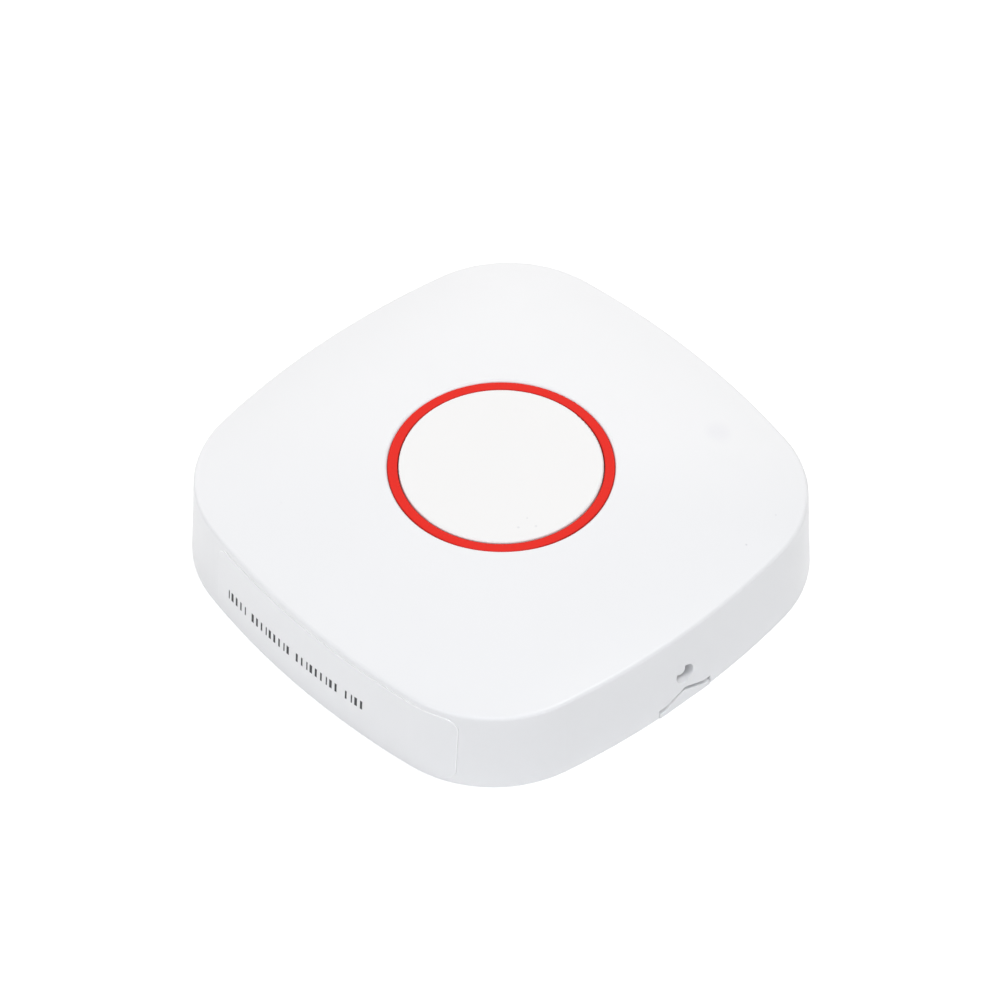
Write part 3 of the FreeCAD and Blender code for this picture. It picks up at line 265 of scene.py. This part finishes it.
def ring_plastic():
    """Red satin plastic: speckled by its grain, with painted shade that darkens its rounded edges."""
    colour = srgb(239, 38, 26)
    shader = Shader("ring_plastic")
    grain = shader.noise(2600, 3)
    tone = shader.blend(grain, darker(colour, 0.14), colour)
    off_middle = shader.maths("ABSOLUTE", shader.maths("SUBTRACT", shader.off_axis(), RING_MIDDLE))
    # Painted shade: the colour darkens towards the ring's rounded edges
    painted_edge_shade = shader.spread(off_middle, 0.0, 0.6, RING_HALF_FACE - RING_SHADED_EDGE, RING_HALF_FACE)
    tone = shader.blend(painted_edge_shade, tone, darker(colour, 0.7))
    shader.surface_feed(Base_Color=tone, Specular_IOR_Level=0.2,
                        Roughness=shader.spread(grain, 0.42, 0.58))
    shader.bump(grain, 0.012 * MM)
    return shader


def metal(name, colour, roughness, turned=False):
    """Bare metal with drawn lines along one way, or turned rings round the upright axis."""
    shader = Shader(name)
    if turned:
        wave = {"Vector": shader.place(), "Scale": 900.0, "Distortion": 1.5, "Detail": 2.0}
        lines = shader.add("ShaderNodeTexWave", wave, wave_type="RINGS",
                           rings_direction="Z").outputs["Fac"]
    else:
        drawn = shader.add("ShaderNodeMapping", {"Vector": shader.place(), "Scale": (1.0, 12.0, 1.0)})
        lines = shader.noise(700, 3, vector=drawn.outputs["Vector"])
    shader.surface_feed(Metallic=1.0, Base_Color=shader.blend(lines, darker(colour, 0.2), colour),
                        Roughness=shader.spread(lines, roughness, roughness + 0.15))
    shader.bump(lines, 0.006 * MM)
    return shader


def board_mask():
    """Green solder mask over thin traces, with plated holes."""
    shader = Shader("board_mask")
    green = srgb(22, 88, 46)
    traces = shader.add("ShaderNodeTexBrick", {
        "Vector": shader.place(), "Color1": green, "Color2": darker(green, 0.12),
        "Mortar": srgb(48, 128, 72), "Scale": 420.0, "Mortar Size": 0.09, "Bias": 0.2})
    cells = shader.add("ShaderNodeTexVoronoi", {"Vector": shader.place(), "Scale": 240.0})
    hole = shader.spread(cells.outputs["Distance"], 1.0, 0.0, 0.10, 0.13)
    tone = shader.blend(hole, traces.outputs["Color"], srgb(206, 176, 96))
    shader.surface_feed(Base_Color=tone, Roughness=shader.spread(shader.noise(300), 0.28, 0.4))
    shader.bump(traces.outputs["Fac"], 0.03 * MM)
    return shader


def clear_plastic():
    """Clear plastic with a faint haze."""
    shader = Shader("clear_plastic")
    haze = shader.noise(600)
    shader.surface_feed(Base_Color=shader.blend(haze, srgb(226, 232, 236), srgb(242, 246, 248)),
                        Roughness=shader.spread(haze, 0.08, 0.2), Transmission_Weight=0.85,
                        IOR=1.49)
    shader.bump(haze, 0.004 * MM)
    return shader


def film_edge_glint():
    """Clear film cut through: glossier than the label's face, with a painted glint from its lighter
    colour and a touch of metal.
    """
    shader = Shader("film_edge_glint")
    cut = shader.noise(1800)
    # Painted highlight: the lighter colour and a touch of metal make the cut edge glint
    shader.surface_feed(Base_Color=shader.blend(cut, srgb(244, 244, 245), srgb(252, 252, 252)),
                        Metallic=0.25, Roughness=shader.spread(cut, 0.25, 0.35))
    shader.bump(cut, 0.001 * MM)
    return shader


def label_ink():
    """Dry black ink, laid on unevenly."""
    shader = Shader("label_ink")
    ink = shader.noise(5200, 3)
    shader.surface_feed(Base_Color=shader.blend(ink, srgb(26, 26, 29), srgb(46, 46, 49)),
                        Roughness=shader.spread(ink, 0.5, 0.7))
    shader.bump(ink, 0.003 * MM)
    return shader


# Faces of the solids, found by rays

def ray_target(node):
    return BVHTree.FromObject(NODES[node], bpy.context.evaluated_depsgraph_get())


def top_caster(node):
    """A function that gives the place on a solid's upper face at x and y."""
    target = ray_target(node)
    return lambda x, y: target.ray_cast(Vector((x, y, 1.0)), Vector((0, 0, -1)))[0]


def side_caster(node):
    """A function that gives the place on a solid's -Y face at x and z."""
    target = ray_target(node)
    return lambda x, z: target.ray_cast(Vector((x, -1.0, z)), Vector((0, 1, 0)))[0]


def dress(shader, *nodes):
    """Gives solids of the frame their finish."""
    for node in nodes:
        mesh = NODES[node].data
        mesh.materials.clear()
        mesh.materials.append(shader.material)


def dress_outside():
    """The pieces that show: case, button, ring and label."""
    dirt = srgb(196, 197, 202)
    glow = srgb(229, 228, 234)
    on_case = top_caster("front_cover")
    on_button = top_caster("button_cap")
    case_spots = [(on_case(x, y), LIGHT_RADIUS, glow, LIGHT_STRENGTH) for x, y in LIGHT_SPOTS]
    case_spots += [(on_case(x, y), radius, dirt, strength) for x, y, radius, strength in CASE_SPECKS]
    button_spots = [(on_button(x, y), radius, dirt, strength) for x, y, radius, strength in BUTTON_SPECKS]
    dress(plastic("case_plastic", srgb(243, 243, 244), 0.38, 0.18 * MM, 0.004 * MM,
                  shade=0.015, spots=case_spots), "front_cover", "rear_cover")
    dress(plastic("button_plastic", srgb(245, 244, 243), 0.45, 0.12 * MM, 0.004 * MM,
                  shade=0.01, spots=button_spots), "button_cap")
    dress(ring_plastic(), "button_ring")
    dress(plastic("label_film", srgb(244, 244, 245), 0.32, 0.4 * MM, 0.003 * MM, shade=0.012),
          "side_label")


def dress_inside():
    """The pieces between the two covers."""
    dress(board_mask(), "main_board")
    dress(plastic("dark_plastic", srgb(34, 34, 36), 0.5, 0.15 * MM, 0.008 * MM, shade=0.2),
          "switch_body", "switch_plunger", "battery_holder")
    dress(plastic("chip_resin", srgb(26, 26, 28), 0.6, 0.08 * MM, 0.006 * MM, shade=0.3), "processor")
    dress(plastic("chip_ceramic", srgb(152, 122, 88), 0.55, 0.2 * MM, 0.006 * MM, shade=0.2),
          "capacitors")
    dress(metal("cell_steel", srgb(198, 199, 201), 0.2, turned=True), "coin_cell", "snap_dome")
    dress(metal("sheet_steel", srgb(186, 188, 192), 0.28), "board_screws", "switch_frame",
          "switch_terminals", "positive_contact", "negative_contact", "radio_can", "crystal")
    dress(metal("antenna_brass", srgb(214, 170, 92), 0.3), "antenna")
    dress(clear_plastic(), "light_pipe")
    dress(plastic("lamp_resin", srgb(240, 232, 196), 0.3, 0.2 * MM, 0.002 * MM), "status_led")


# Print and edge of the label

def skin_faces(first, sections, sides, joined):
    """Faces round a row of sections, numbered from first: joined in a ring or closed at its ends."""
    faces = []
    for section in range(sections if joined else sections - 1):
        here = first + section * sides
        then = first + (section + 1) % sections * sides
        for side in range(sides):
            after = (side + 1) % sides
            faces.append((here + side, here + after, then + after, then + side))
    if not joined:
        last = first + (sections - 1) * sides
        faces.append(tuple(range(first + sides - 1, first - 1, -1)))
        faces.append(tuple(range(last, last + sides)))
    return faces


def add_piece(name, points, faces, shader):
    """A closed piece of the label, made from points and faces."""
    mesh = bpy.data.meshes.new(name)
    mesh.from_pydata(points, [], faces)
    mesh.validate()
    mesh.materials.append(shader.material)
    piece = add_object(name, mesh)
    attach(piece, "case")
    return piece


def bars():
    """Start and end of each upright bar along the label."""
    spans = []
    start = PRINT_LEFT
    while start < PRINT_RIGHT:
        step = len(spans)
        end = start + BAR_WIDTHS[step % len(BAR_WIDTHS)] * MM
        spans.append((start, end))
        start = end + BAR_GAPS[step % len(BAR_GAPS)] * MM
        if step % GROUP_SIZE == GROUP_END:
            start += GROUP_GAP * MM
    return spans


def make_label_print():
    """Thin closed bars that follow the label's face."""
    at_face = side_caster("side_label")
    proud = Vector((0, -PRINT_PROUD, 0))
    root = Vector((0, PRINT_ROOT, 0))
    points = []
    faces = []
    for left, right in bars():
        faces += skin_faces(len(points), PRINT_SECTIONS, 4, joined=False)
        for section in range(PRINT_SECTIONS):
            up = PRINT_HEIGHT * section / (PRINT_SECTIONS - 1)
            at_left, at_right = (
                at_face(x, PRINT_BOTTOM + PRINT_RISE * (x - PRINT_LEFT) + up) for x in (left, right))
            points += (at_left + proud, at_right + proud, at_right + root, at_left + root)
    add_piece("label_print", points, faces, label_ink())


def label_outline():
    """Stations round the label in even steps: each its x, its z and the direction outward."""
    low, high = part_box("side_label")
    left, right = low.x + LABEL_CORNER, high.x - LABEL_CORNER
    bottom, top = low.z + LABEL_CORNER, high.z - LABEL_CORNER
    arcs = []
    for turn, (x, z) in enumerate(((right, top), (left, top), (left, bottom), (right, bottom))):
        for part in range(CORNER_STEPS + 1):
            angle = math.radians(90 * (turn + part / CORNER_STEPS))
            out = (math.cos(angle), math.sin(angle))
            arcs.append((x + LABEL_CORNER * out[0], z + LABEL_CORNER * out[1], out))
    stations = []
    for (x, z, out), (next_x, next_z, _) in zip(arcs, arcs[1:] + arcs[:1]):
        steps = max(1, round(math.dist((x, z), (next_x, next_z)) / EDGE_STEP))
        for step in range(steps):
            share = step / steps
            stations.append((x + (next_x - x) * share, z + (next_z - z) * share, out))
    return stations


def make_label_edge():
    """A thin closed rim that runs round the label and slopes from its face down to the wall."""
    at_face = side_caster("side_label")
    stations = label_outline()
    points = []
    for x, z, (out_x, out_z) in stations:
        y = at_face(x - EDGE_INSET * out_x, z - EDGE_INSET * out_z).y
        for out, depth in EDGE_SECTION:
            points.append((x + out * MM * out_x, y + depth * MM, z + out * MM * out_z))
    faces = skin_faces(0, len(stations), len(EDGE_SECTION), joined=True)
    # The rim's finish paints a glint along the label's edge
    add_piece("label_edge", points, faces, film_edge_glint()).data.shade_smooth()


# Floor, world and lamps

def make_floor():
    """A plain floor that shows white and keeps the object's shadow."""
    half = FLOOR_SIZE / 2
    corners = ((-half, -half), (half, -half), (half, half), (-half, half))
    mesh = bpy.data.meshes.new("floor")
    mesh.from_pydata([(x, y, FLOOR_HEIGHT) for x, y in corners], [], [(0, 1, 2, 3)])
    floor = add_object("floor", mesh)
    shader = Shader("floor_paint")
    shader.tree.nodes.remove(shader.surface)
    shade = (FLOOR_SHADE, FLOOR_SHADE, FLOOR_SHADE, 1)
    diffuse = shader.add("ShaderNodeBsdfDiffuse", {"Color": shade}).outputs[0]
    glow = shader.add("ShaderNodeEmission", {"Strength": FLOOR_GLOW}).outputs[0]
    both = shader.add("ShaderNodeAddShader", {0: diffuse, 1: glow}).outputs[0]
    pick = shader.add("ShaderNodeMixShader", {0: shader.seen_directly(), 1: diffuse, 2: both})
    shader.feed(shader.tree.nodes["Material Output"].inputs["Surface"], pick.outputs[0])
    mesh.materials.append(shader.material)


def make_world():
    """A dim white world, which the camera and reflections see as plain white."""
    world = bpy.data.worlds.new("studio")
    bpy.context.scene.world = world
    studio = NodeTree(world)
    background = studio.tree.nodes["Background"]
    studio.feed(background.inputs["Color"], (1, 1, 1, 1))
    studio.feed(background.inputs["Strength"],
                studio.spread(studio.seen_directly(), WORLD_STRENGTH, 1.0))


def make_lamps():
    """Round soft lamps that point at the object."""
    for name, direction, width, watts, colour in LAMPS:
        data = bpy.data.lights.new(name, "AREA")
        data.shape = "DISK"
        data.size = width
        data.energy = watts
        data.color = colour
        lamp = add_object(name, data)
        lamp.location = Vector(direction).normalized() * LAMP_DISTANCE
        lamp.rotation_mode = "QUATERNION"
        lamp.rotation_quaternion = lamp.location.to_track_quat("Z", "Y")


make_camera()
dress_outside()
dress_inside()
make_label_print()
make_label_edge()
make_floor()
make_world()
make_lamps()
bpy.context.scene.view_settings.view_transform = "Standard"
